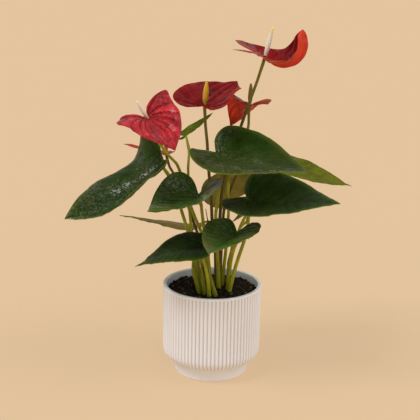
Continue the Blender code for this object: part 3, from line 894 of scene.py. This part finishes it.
def blade_material(
    name,
    veins,
    base,
    line,
    edge,
    rough,
    coat,
    relief,
    mottle_scale=45.0,
    patch=0.55,
    dust=0.35,
    lines=0.55,
    painted_sheen=0.0,
    brown_reflection=0.0,
    patches=15.0,
    crackle=330.0,
    cover=0.0,
    gloss=0.0,
    shade=0.08,
    puff=0.25,
):
    """A waxy blade: mottled ground, lighter veins, fine net, dust, a pale edge, painted sheen and painted
    brown-grey reflections.

    patch, dust and lines say how strongly mottle, dust and veins show, and the next two shares how strongly
    the painted sheen and the painted brown-grey reflection patches show.
    patches and crackle are the scales of the sheen patches, cover spreads them and gloss gives the pale
    ones a real shining coat.
    relief is the height of the bump in metres, and puff the share of it between veins.
    """
    _, t, shader = material(name)
    vein = t.group(veins)
    mottle = t.group("mottle", Scale=mottle_scale)
    sheen_masks = t.group("sheen patches", Patch_Scale=patches, Grain_Scale=crackle, Cover=cover)
    spots = t.group("speckle", Scale=700.0, Size=0.22)["Spots"]
    rim = t.group("edge line")
    ground = t.mix(mottle["Value"], tinted(base, 1 - 0.5 * patch), tinted(base, 1 + patch))
    for mask, share, tone in (
        (mottle["Grain"], 0.10, tinted(line, 0.7)),
        # Painted brown-grey reflection patches
        (sheen_masks["Brown Reflection"], brown_reflection, PAINTED_BROWN_REFLECTION),
        # Painted sheen patches
        (sheen_masks["Bloom"], painted_sheen, PAINTED_SHEEN_TINT),
        (vein["Fine"], 0.15, line),
        (vein["Veins"], lines, line),
        (spots, dust, tinted(line, 1.9)),
        (rim["Band"], 0.20, edge),
        (rim["Line"], 0.85, edge),
    ):
        ground = t.mix(t.times(mask, share), ground, tone)
    shine = t.times_plus(mottle["Value"], 0.14, rough - 0.07)
    shine = t.plus(shine, t.times(spots, 0.2))
    height = t.minus(t.times(vein["Puff"], puff), t.times(vein["Veins"], 0.8))
    height = t.minus(height, t.times(vein["Fine"], 0.16))
    if name.endswith("_back"):
        # Veins are sunk in a blade's upper face and stand out under it
        height = t.times(height, -1.0)
    height = t.times_plus(mottle["Grain"], 0.35, height)
    # The painted sheen patches also get a real shining coat
    t.set(shader.inputs["Coat Weight"], t.times_plus(sheen_masks["Bloom"], gloss, coat))
    normal = t.bump(height, relief)
    finish(t, shader, ground, shine, normal, Coat_Roughness=0.20, Specular_IOR_Level=shade)


def leaf_materials():
    c = colours()
    dark, vein, back, light = (tuple(v) for v in (c.leaf, c.leaf_vein, c.leaf_back, c.leaf_light))
    bronze, edge = tuple(c.bronze), tuple(c.rim)
    olive = blended(back, bronze, 0.5)
    # Shares of painted sheen and painted brown-grey reflection, with the real gloss, for the leaves' fronts
    faint_sheen = dict(painted_sheen=0.05, brown_reflection=0.05, lines=0.22, gloss=0.30, shade=0.03)
    light_sheen = dict(painted_sheen=0.30, brown_reflection=0.12, lines=0.20, gloss=0.8, shade=0.03, patches=12.0, cover=-0.015)
    heavy_sheen = dict(painted_sheen=0.95, brown_reflection=0.85, lines=0.5, gloss=1.0, shade=0.10, patches=24.0, cover=0.04)
    for name, base, line, rough, coat, relief, options in (
        ("leaf_dark", tinted(dark, 0.9), vein, 0.30, 0.0, 0.0005, faint_sheen),
        ("leaf_sheen", dark, vein, 0.32, 0.0, 0.0006, light_sheen),
        # The mottled leaves carry the most painted sheen and painted brown-grey reflection
        ("leaf_mottled", tinted(dark, 3.6), vein, 0.34, 0.04, 0.0010, heavy_sheen),
        ("leaf_light", tinted(light, 0.7), light, 0.42, 0.05, 0.0005, {}),
        ("leaf_bronze", bronze, tinted(bronze, 1.6), 0.5, 0.0, 0.0005, {}),
        ("leaf_olive", tinted(dark, 1.6), vein, 0.42, 0.05, 0.0005, {}),
    ):
        blade_material(name, "leaf veins", base, line, edge, rough, coat, relief, **options)
    for name, base, paler in (
        ("leaf_dark_back", back, 1.5),
        ("leaf_sheen_back", back, 1.5),
        ("leaf_mottled_back", back, 1.5),
        ("leaf_light_back", light, 1.5),
        ("leaf_bronze_back", light, 1.5),
        ("leaf_olive_back", olive, 1.7),
    ):
        blade_material(name, "leaf veins", base, tinted(base, paler), edge, 0.55, 0.0, 0.0005)


def spathe_materials():
    c = colours()
    bright, deep, back = tuple(c.spathe), tuple(c.spathe_deep), tuple(c.spathe_back)
    shared = dict(mottle_scale=38.0, dust=0.10, shade=0.06, patches=22.0, crackle=120.0, puff=0.7)
    young = dict(lines=0.14, gloss=0.8, patch=0.80)
    grown = dict(lines=0.14, gloss=0.5)
    for name, base, line, edge, rough, coat, relief, options in (
        # The bright spathe's pale pink veins are partly painted highlight
        ("spathe_bright", tinted(bright, 0.80), PINK_VEIN_HIGHLIGHT, bright, 0.22, 0.0, 0.0024, young),
        ("spathe_deep", deep, tinted(deep, 1.7), tinted(deep, 1.4), 0.22, 0.03, 0.0007, grown),
        # Painted shade: the rear spathe's face is the back colour at half strength
        ("spathe_bronze", tinted(back, 0.5), back, back, 0.35, 0.1, 0.0006, {}),
    ):
        blade_material(name, "spathe veins", base, line, edge, rough, coat, relief, **options, **shared)
    for name, base in (
        ("spathe_bright_back", tinted(bright, 0.9)),
        ("spathe_deep_back", back),
        # Painted shade: the rear spathe's back is the back colour darkened
        ("spathe_bronze_back", tinted(back, 0.7)),
    ):
        blade_material(name, "spathe veins", base, tinted(base, 1.4), base, 0.36, 0.08, 0.0006, **shared)


def stalk_material(name, low, middle, top, rough=0.42):
    """A waxy stalk with long streaks, pale flecks and a change of colour on the way up."""
    _, t, shader = material(name)
    streaks = t.group("stalk streaks")
    mottle = t.group("mottle", Scale=120.0)
    broad = t.group("mottle", Scale=34.0)
    spots = t.group("speckle", Scale=1300.0, Size=0.2)["Spots"]
    ground = t.mix(t.fit(streaks["Along"], 0.0, 0.22), low, middle)
    ground = t.mix(t.fit(streaks["Along"], 0.70, 1.0), ground, top)
    ground = t.mix(t.times(streaks["Streaks"], 0.60), ground, tinted(low, 0.32))
    ground = t.mix(t.times(mottle["Value"], 0.22), ground, tinted(middle, 1.5))
    ground = t.mix(t.times(broad["Value"], 0.55), ground, tinted(low, 0.45))
    ground = t.mix(t.times(spots, 0.35), ground, tinted(middle, 1.7))
    height = t.times_plus(mottle["Grain"], 0.5, streaks["Streaks"])
    shine = t.times_plus(streaks["Streaks"], 0.16, rough)
    finish(t, shader, ground, shine, t.bump(height, 0.00022), Specular_IOR_Level=0.30)


def stalk_materials():
    c = colours()
    green, red, shoot = tuple(c.stalk), tuple(c.stalk_red), tuple(c.shoot)
    for name, low, middle, top, rough in (
        ("petiole", tinted(green, 0.75), green, tinted(green, 0.85), 0.42),
        ("peduncle", tinted(green, 0.45), blended(red, green, 0.1), blended(red, green, 0.4), 0.42),
        ("peduncle_olive", tinted(green, 0.5), red, blended(red, green, 0.65), 0.42),
        ("sheath", tinted(green, 0.45), tinted(green, 0.65), tinted(green, 0.9), 0.5),
        ("shoot", tinted(shoot, 0.5), shoot, tinted(shoot, 1.3), 0.45),
    ):
        stalk_material(name, low, middle, top, rough)


def spadix_material(name, base, tip, foot):
    """Small packed flowers: each bead in the ground colour on top, with painted shade darkening the cracks
    between beads.
    """
    _, t, shader = material(name)
    along = t.group("stalk streaks", Count=3.0)["Along"]
    mottle = t.group("mottle", Scale=160.0)
    bead = t.number("bead")
    ground = t.mix(t.fit(along, 0.0, 0.45), foot, base)
    ground = t.mix(t.fit(along, 0.55, 1.0), ground, tip)
    ground = t.mix(t.times(mottle["Value"], 0.25), ground, tinted(base, 0.8))
    # Painted shade: the cracks between beads get a darker foot colour
    ground = t.mix(t.fit(bead, 0.35, 0.0, 0.0, 0.35), ground, tinted(foot, 0.75))
    shine = t.times_plus(mottle["Value"], 0.12, 0.5)
    height = t.times_plus(mottle["Grain"], 0.4, bead)
    finish(t, shader, ground, shine, t.bump(height, 0.0002))


def spadix_materials():
    c = colours()
    cream, yellow, olive = tuple(c.cream), tuple(c.yellow), tuple(c.olive)
    spadix_material("spadix_cream", cream, tinted(cream, 1.05), SPADIX_FOOT)
    spadix_material("spadix_cream_tall", cream, SPADIX_TIP, tinted(cream, 0.92))
    spadix_material("spadix_yellow", yellow, tinted(yellow, 1.15), tinted(yellow, 0.6))
    spadix_material("spadix_olive", olive, tinted(olive, 1.3), tinted(olive, 0.7))


def pot_material():
    """Satin glaze: faint cloudiness, fine pores, and warmer shade in the grooves."""
    made, t, shader = material("pot_glaze")
    base = tuple(colours().pot)
    mottle = t.group("mottle", Scale=22.0)
    spots = t.group("speckle", Scale=1100.0, Size=0.13)["Spots"]
    shaded = tuple(a * b for a, b in zip(base, GROOVE_SHADE))
    ground = t.mix(mottle["Value"], tinted(base, 0.985), tinted(base, 1.015))
    ground = t.mix(t.times(spots, 0.10), ground, tinted(base, 0.6))
    ground = t.mix(t.times(t.number("groove"), 0.75), ground, shaded)
    shine = t.times_plus(mottle["Value"], 0.08, 0.46)
    shine = t.times_plus(spots, 0.1, shine)
    height = t.times_plus(mottle["Grain"], 0.6, spots)
    finish(t, shader, ground, shine, t.bump(height, 0.00008))
    return made


def soil_material():
    """Damp crumbs of brown and near-black earth."""
    made, t, shader = material("soil_earth")
    base = tuple(colours().soil)
    mottle = t.group("mottle", Scale=150.0)
    crumbs = t.cells(t.place(), 520.0)
    spots = t.group("speckle", Scale=420.0, Size=0.2)["Spots"]
    ground = t.mix(mottle["Value"], tinted(base, 0.30), tinted(base, 3.4))
    ground = t.mix(t.times(crumbs, 0.5), ground, tinted(base, 0.4))
    ground = t.mix(t.times(spots, 0.5), ground, FIBRE_TINT)
    shine = t.times_plus(mottle["Value"], 0.3, 0.62)
    height = t.times_plus(crumbs, 1.0, mottle["Grain"])
    finish(t, shader, ground, shine, t.bump(height, 0.0014), Specular_IOR_Level=0.15)
    return made


def chip_material():
    """Bark, fibre and pale grit, each bit in its own tone."""
    made, t, shader = material("soil_bits")
    tint = t.number("tint")
    mottle = t.group("mottle", Scale=240.0)
    base = tuple(colours().soil)
    ground = t.mix(t.fit(tint, 0.30, 0.72), tinted(base, 1.2), BARK_TINT)
    ground = t.mix(t.fit(tint, 0.86, 0.93), ground, GRIT_TINT)
    ground = t.mix(t.times(mottle["Value"], 0.5), ground, tinted(base, 0.7))
    shine = t.times_plus(mottle["Value"], 0.2, 0.65)
    finish(t, shader, ground, shine, t.bump(mottle["Grain"], 0.0004), Specular_IOR_Level=0.20)
    return made


def floor_material():
    """Matt studio paper that glows a little, so that its shadows stay faint."""
    made, t, shader = material("studio_floor")
    base = tuple(colours().floor)
    mottle = t.group("mottle", Scale=3.0)
    low, high = tinted(base, FLOOR_MATT - FLOOR_MOTTLE), tinted(base, FLOOR_MATT + FLOOR_MOTTLE)
    ground = t.mix(mottle["Value"], low, high)
    t.set(shader.inputs["Emission Color"], tinted(base, FLOOR_GLOW))
    shine = t.times_plus(mottle["Grain"], 0.05, 0.9)
    finish(t, shader, ground, shine, Specular_IOR_Level=0.0, Emission_Strength=1.0)
    return made


# ---------------------------------------------------------------- operators


def quarter(steps, first=0):
    """Sines and cosines at even steps of a quarter turn."""
    turns = [math.pi / 2 * i / steps for i in range(first, steps + 1)]
    return [(math.sin(turn), math.cos(turn)) for turn in turns]


def pot_profile():
    """Half section of the pot, from under the foot, over the rim and down to the floor inside.

    Each row is a radius, a height and the share of the full groove there. Last comes the floor's height.
    """
    points = welded("pot")[0]
    radii, heights = np.hypot(points[:, 0], points[:, 1]), points[:, 2]
    top, wide = heights.max(), radii.max()
    foot = radii[heights < 0.01].max()
    base = heights[radii > foot + 0.0005].min()
    inner = radii[heights > top - 0.004].min()
    floor = heights[radii < inner * 0.9].max()
    shelf = foot + SHELF_WIDTH
    shoulder = base + BELLY_HEIGHT
    ribs_end = top - sizes().rim_margin
    rows = [
        (foot - FOOT_EDGE, 0.0, 0.0),
        (foot - 0.0003, 0.0004, 0.0),
        (foot, 0.0014, 0.0),
        (foot, base - 0.0008, 0.0),
        (foot + SHELF_EDGE, base, 0.0),
    ]
    for step, (sine, cosine) in enumerate(quarter(BELLY_STEPS, 1), 1):
        rows.append((shelf + (wide - shelf) * sine, base + BELLY_HEIGHT * (1 - cosine), min(1.0, step / 3)))
    for step in range(1, WALL_STEPS + 1):
        rows.append((wide, shoulder + (ribs_end - 0.0012 - shoulder) * step / WALL_STEPS, 1.0))
    rows += [(wide, ribs_end - 0.0004, 0.55), (wide, ribs_end, 0.0), (wide, top - LIP_OUTSIDE, 0.0)]
    for sine, cosine in quarter(LIP_STEPS, 1):
        rows.append((wide - LIP_OUTSIDE * (1 - cosine), top - LIP_OUTSIDE * (1 - sine), 0.0))
    for sine, cosine in quarter(LIP_STEPS):
        rows.append((inner + LIP_INSIDE * (1 - sine), top - LIP_INSIDE * (1 - cosine), 0.0))
    for share in (0.75, 0.5, 0.25):
        rows.append((inner, floor + FLOOR_BEND_HIGH + (top - floor - 0.011) * share, 0.0))
    for sine, cosine in quarter(LIP_STEPS):
        rows.append((inner - FLOOR_BEND_WIDE * (1 - cosine), floor + FLOOR_BEND_HIGH * (1 - sine), 0.0))
    return rows, floor


class ANTHURIUM_OT_pot(bpy.types.Operator):
    """Build the ribbed pot"""

    bl_idname = "anthurium.pot"
    bl_label = "Pot"

    def execute(self, context):
        profile, floor = pot_profile()
        around = sizes().rib_count * RIB_STEPS
        angle = 2 * math.pi * np.arange(around) / around
        groove = 1 - np.abs(np.sin(math.pi * np.arange(around) / RIB_STEPS)) ** 0.6
        rows, depths = [], []
        for radius, height, share in profile:
            reach = radius - sizes().rib_depth * share * groove
            level = np.full(around, height)
            rows.append(np.stack([reach * np.cos(angle), reach * np.sin(angle), level], 1))
            depths.append(groove * share)
        points = np.concatenate([[[0, 0, 0]], *rows, [[0, 0, floor]]])
        faces = closed_faces(len(rows), around)
        piece = add_piece("pot_ribbed", points, faces, [pot_material()], "pot", "pot")
        set_number(piece.data, "groove", np.concatenate([[0], *depths, [0]]))
        return {"FINISHED"}


def soil_height(x, y, wide):
    """Height of the soil above its level: a low mound with lumps and crumbs."""
    place = Vector((x, y, 0.0))
    broad = noise.noise(place * 110)
    crumb = noise.noise(place * 330 + Vector((7.0, 3.0, 1.0)))
    fine = noise.noise(place * 800 + Vector((1.0, 9.0, 4.0)))
    mound = sizes().soil_mound * max(0.0, 1 - (x * x + y * y) / wide**2) ** 0.7
    return mound + sizes().soil_lump * (0.42 * broad + 0.50 * crumb + 0.26 * fine)


class ANTHURIUM_OT_soil(bpy.types.Operator):
    """Build the lumpy soil and the bits that lie on it"""

    bl_idname = "anthurium.soil"
    bl_label = "Soil"

    def execute(self, context):
        low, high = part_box("soil")
        wide = high.x
        level = high.z - sizes().soil_lump * 0.25
        rows = [(0, 0, level + soil_height(0, 0, wide))]
        for k in range(1, SOIL_RINGS + 1):
            ring = circle(wide * k / SOIL_RINGS, SOIL_SIDES)
            rows += [(x, y, level + soil_height(x, y, wide)) for x, y in ring]
        skirt = ((wide, low.z + 0.009), (wide * 0.96, low.z + 0.0025), (wide * 0.86, low.z))
        for radius, height in skirt:
            rows += [(x, y, height) for x, y in circle(radius, SOIL_SIDES)]
        rows.append((0, 0, low.z))
        faces = closed_faces(SOIL_RINGS + len(skirt), SOIL_SIDES, downward=True)
        add_piece("soil_bed", rows, faces, [soil_material()], "soil", "soil")
        self.bits(wide, level)
        return {"FINISHED"}

    def bits(self, wide, level):
        """Uneven bits of bark and grit, half sunk where they lie."""
        rng = random.Random(5)
        work = bmesh.new()
        tones = []
        for _ in range(sizes().chip_count):
            reach = (wide - 0.003) * math.sqrt(rng.random())
            turn = rng.uniform(0, 2 * math.pi)
            x, y = reach * math.cos(turn), reach * math.sin(turn)
            size = sizes().chip_size * (0.28 + 0.72 * rng.random() ** 2.2) / 2
            tone = rng.random()
            made = bmesh.ops.create_icosphere(work, subdivisions=2, radius=1.0)["verts"]
            shape = Vector((rng.uniform(0.6, 1.5), rng.uniform(0.5, 1.0), rng.uniform(0.35, 0.8))) * size
            turned = Matrix.Rotation(rng.uniform(0, 6.28), 3, "Z")
            turned = turned @ Matrix.Rotation(rng.uniform(-0.6, 0.6), 3, "X")
            drift = Vector((rng.random() * 50, 0, 0))
            centre = Vector((x, y, level + soil_height(x, y, wide) + 0.25 * size))
            for v in made:
                rough = 1 + 0.45 * noise.noise(v.co * 1.3 + drift)
                v.co = centre + turned @ Vector(a * b * rough for a, b in zip(v.co, shape))
                tones.append(tone)
        mesh = bpy.data.meshes.new("soil_bits")
        work.to_mesh(mesh)
        work.free()
        mesh.polygons.foreach_set("use_smooth", [False] * len(mesh.polygons))
        mesh.materials.append(chip_material())
        set_number(mesh, "tint", tones)
        piece = bpy.data.objects.new("soil_bits", mesh)
        bpy.context.scene.collection.objects.link(piece)
        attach(piece, "root")


class ANTHURIUM_OT_leaves(bpy.types.Operator):
    """Build the leaves"""

    bl_idname = "anthurium.leaves"
    bl_label = "Leaves"

    def execute(self, context):
        leaf_materials()
        for seed, (node, (stalk, look, slot)) in enumerate(LEAVES.items()):
            faces = [bpy.data.materials[look], bpy.data.materials[f"{look}_back"]]
            build_blade(node, stalk, leaf_lines, sizes().leaf_quilt, sizes().vein_depth, faces, slot, seed)
        return {"FINISHED"}


class ANTHURIUM_OT_spathes(bpy.types.Operator):
    """Build the spathes"""

    bl_idname = "anthurium.spathes"
    bl_label = "Spathes"

    def execute(self, context):
        spathe_materials()
        for seed, (node, (stalk, look)) in enumerate(SPATHES.items(), 40):
            faces = [bpy.data.materials[look], bpy.data.materials[f"{look}_back"]]
            quilt = sizes().spathe_quilt * (1.0 if look == "spathe_bright" else 0.35)
            build_blade(node, stalk, spathe_lines, quilt, sizes().vein_depth, faces, "spathe", seed)
        return {"FINISHED"}


def stalk_line(node, blade):
    """A stalk's line from the soil up to the underside of its blade."""
    middles, radii = rod_line(node, lowest_point(node), (0.0, 0.0, 1.0))
    pole = blade_spokes(blade, node)[0, 0]
    end = pole - unit(pole - middles[-1]) * 0.0008
    root = middles[0] - np.array([0, 0, 0.0012])
    middles = np.concatenate([[root], middles[:-1], [end]])
    return middles, np.concatenate([radii[:1], radii[:-1], [radii[-2]]])


class ANTHURIUM_OT_stalks(bpy.types.Operator):
    """Build the leaf stalks and flower stalks"""

    bl_idname = "anthurium.stalks"
    bl_label = "Stalks"

    def execute(self, context):
        stalk_materials()
        for blade, (node, _, _) in LEAVES.items():
            middles, radii = stalk_line(node, blade)
            build_tube(f"{node}_stalk", node, middles, radii, petiole_shape, "petiole", "petiole")
        for blade, (node, _) in SPATHES.items():
            look, slot = PEDUNCLE_LOOKS[node]
            middles, radii = stalk_line(node, blade)
            build_tube(f"{node}_stalk", node, middles, radii, peduncle_shape, look, slot)
        return {"FINISHED"}


class ANTHURIUM_OT_shoots(bpy.types.Operator):
    """Build the sheaths and young shoots"""

    bl_idname = "anthurium.shoots"
    bl_label = "Sheaths and shoots"

    def execute(self, context):
        for node, look in SHOOTS.items():
            middles, radii = rod_line(node, lowest_point(node), (0.0, 0.0, 1.0), step=0.002)
            shape = sheath_shape if look == "sheath" else peduncle_shape
            points = welded(node)[0]
            middles = np.concatenate([middles, [points[points[:, 2].argmax()]]])
            radii = np.concatenate([radii, [SHOOT_TIP]])
            build_tube(f"{node}_tube", node, middles, radii, shape, look, look)
        return {"FINISHED"}


class ANTHURIUM_OT_spadices(bpy.types.Operator):
    """Build the spadices"""

    bl_idname = "anthurium.spadices"
    bl_label = "Spadices"

    def execute(self, context):
        spadix_materials()
        along = np.repeat(np.linspace(0, 1, SPADIX_RINGS), SPADIX_SIDES)
        angle = np.tile(2 * math.pi * np.arange(SPADIX_SIDES) / SPADIX_SIDES, SPADIX_RINGS)
        bead = (spadix_shape(along, angle) - 1) / BEAD_SHARE + BEAD_LEVEL
        bead = np.concatenate([[0.5], bead, [0.5]])
        for node, (blade, slot) in SPADICES.items():
            points = welded(node)[0]
            pole = blade_spokes(blade, SPATHES[blade][0])[0, 0]
            away = np.linalg.norm(points - pole, axis=1)
            near, far = points[away.argmin()], points[away.argmax()]
            ahead = unit(far - near)
            middles, radii = rod_line(node, near, ahead, step=0.0015)
            middles = np.concatenate([[middles[0] - ahead * 0.0012], middles, [far]])
            radii = np.concatenate([radii[:1] * 0.9, radii, [radii[-1] * 0.35]])
            look = "spadix_cream_tall" if node == "spadix_tall" else slot
            piece = build_tube(
                f"{node}_beaded",
                node,
                middles,
                radii,
                spadix_shape,
                look,
                slot,
                rings=SPADIX_RINGS,
                sides=SPADIX_SIDES,
            )
            set_number(piece.data, "bead", bead)
        return {"FINISHED"}


def sun(name, strength, turn, height, angle, tone):
    """A soft light from a turn round Z (0 is the front, plus is the right) and a height, in degrees."""
    data = bpy.data.lights.new(name, "SUN")
    data.energy = strength
    data.angle = math.radians(angle)
    data.color = tone
    lamp = bpy.data.objects.new(name, data)
    a, e = math.radians(turn), math.radians(height)
    back = Vector((math.sin(a) * math.cos(e), -math.cos(a) * math.cos(e), math.sin(e)))
    lamp.rotation_euler = back.to_track_quat("Z", "Y").to_euler()
    lamp.location = back * 2
    bpy.context.scene.collection.objects.link(lamp)


class ANTHURIUM_OT_stage(bpy.types.Operator):
    """Build the floor, the lights and the camera"""

    bl_idname = "anthurium.stage"
    bl_label = "Stage"

    def execute(self, context):
        scene = context.scene
        scene.view_settings.view_transform = "Standard"
        mesh = bpy.data.meshes.new("studio_floor")
        corners = [(FLOOR_HALF * x, FLOOR_HALF * y, 0) for x, y in ((-1, -1), (1, -1), (1, 1), (-1, 1))]
        mesh.from_pydata(corners, [], [(0, 1, 2, 3)])
        mesh.materials.append(floor_material())
        floor = bpy.data.objects.new("studio_floor", mesh)
        floor.location.z = CAD_LOW.z - FLOOR_GAP
        scene.collection.objects.link(floor)
        world = bpy.data.worlds.new("studio_air")
        world.use_nodes = True
        air = world.node_tree.nodes["Background"].inputs
        air["Color"].default_value = AIR_TONE
        air["Strength"].default_value = AIR_STRENGTH
        scene.world = world
        for light in LIGHTS:
            sun(*light)
        self.camera(scene)
        return {"FINISHED"}

    def camera(self, scene):
        """A long lens that looks a little down at the plant's middle."""
        tilt, roll = math.radians(CAMERA_TILT), math.radians(CAMERA_ROLL)
        back = Vector((0.0, -math.cos(tilt), math.sin(tilt)))
        right = Vector((1.0, 0.0, 0.0))
        up = back.cross(right)
        across = math.cos(roll) * right + math.sin(roll) * up
        above = math.cos(roll) * up - math.sin(roll) * right
        data = bpy.data.cameras.new("camera")
        data.sensor_width = CAMERA_SENSOR
        data.lens = CAMERA_LENS
        data.clip_start, data.clip_end = 0.05, 300.0
        camera = bpy.data.objects.new("camera", data)
        turned = Matrix((across, above, back)).transposed().to_4x4()
        camera.matrix_world = Matrix.Translation(Vector(CAMERA_TARGET) + back * CAMERA_AWAY) @ turned
        scene.collection.objects.link(camera)
        scene.camera = camera


class ANTHURIUM_PT_panel(bpy.types.Panel):
    """Sizes, colours and the steps that build the plant"""

    bl_idname = "ANTHURIUM_PT_panel"
    bl_label = "Potted Anthurium"
    bl_space_type = "VIEW_3D"
    bl_region_type = "UI"
    bl_category = "Anthurium"

    def draw(self, context):
        layout = self.layout
        for title, group in (("Sizes", sizes()), ("Colours", colours())):
            box = layout.box()
            box.label(text=title)
            for key in type(group).__annotations__:
                box.prop(group, key)
        column = layout.column(align=True)
        for step in STEPS:
            column.operator(step.bl_idname, text=step.bl_label)


STEPS = (
    ANTHURIUM_OT_pot,
    ANTHURIUM_OT_soil,
    ANTHURIUM_OT_leaves,
    ANTHURIUM_OT_spathes,
    ANTHURIUM_OT_stalks,
    ANTHURIUM_OT_shoots,
    ANTHURIUM_OT_spadices,
    ANTHURIUM_OT_stage,
)
GROUPS = (vein_group, arc_group, mottle_group, speckle_group, rim_group, streak_group, sheen_patch_group)


CLASSES = (AnthuriumSizes, AnthuriumColours, *STEPS, ANTHURIUM_PT_panel)


def register():
    for one in CLASSES:
        bpy.utils.register_class(one)
    bpy.types.Scene.anthurium_sizes = PointerProperty(type=AnthuriumSizes)
    bpy.types.Scene.anthurium_colours = PointerProperty(type=AnthuriumColours)


def unregister():
    del bpy.types.Scene.anthurium_colours
    del bpy.types.Scene.anthurium_sizes
    for one in reversed(CLASSES):
        bpy.utils.unregister_class(one)


def main():
    register()
    for make_group in GROUPS:
        make_group()
    for step in STEPS:
        family, name = step.bl_idname.split(".")
        getattr(getattr(bpy.ops, family), name)()


if __name__ == "__main__":
    main()
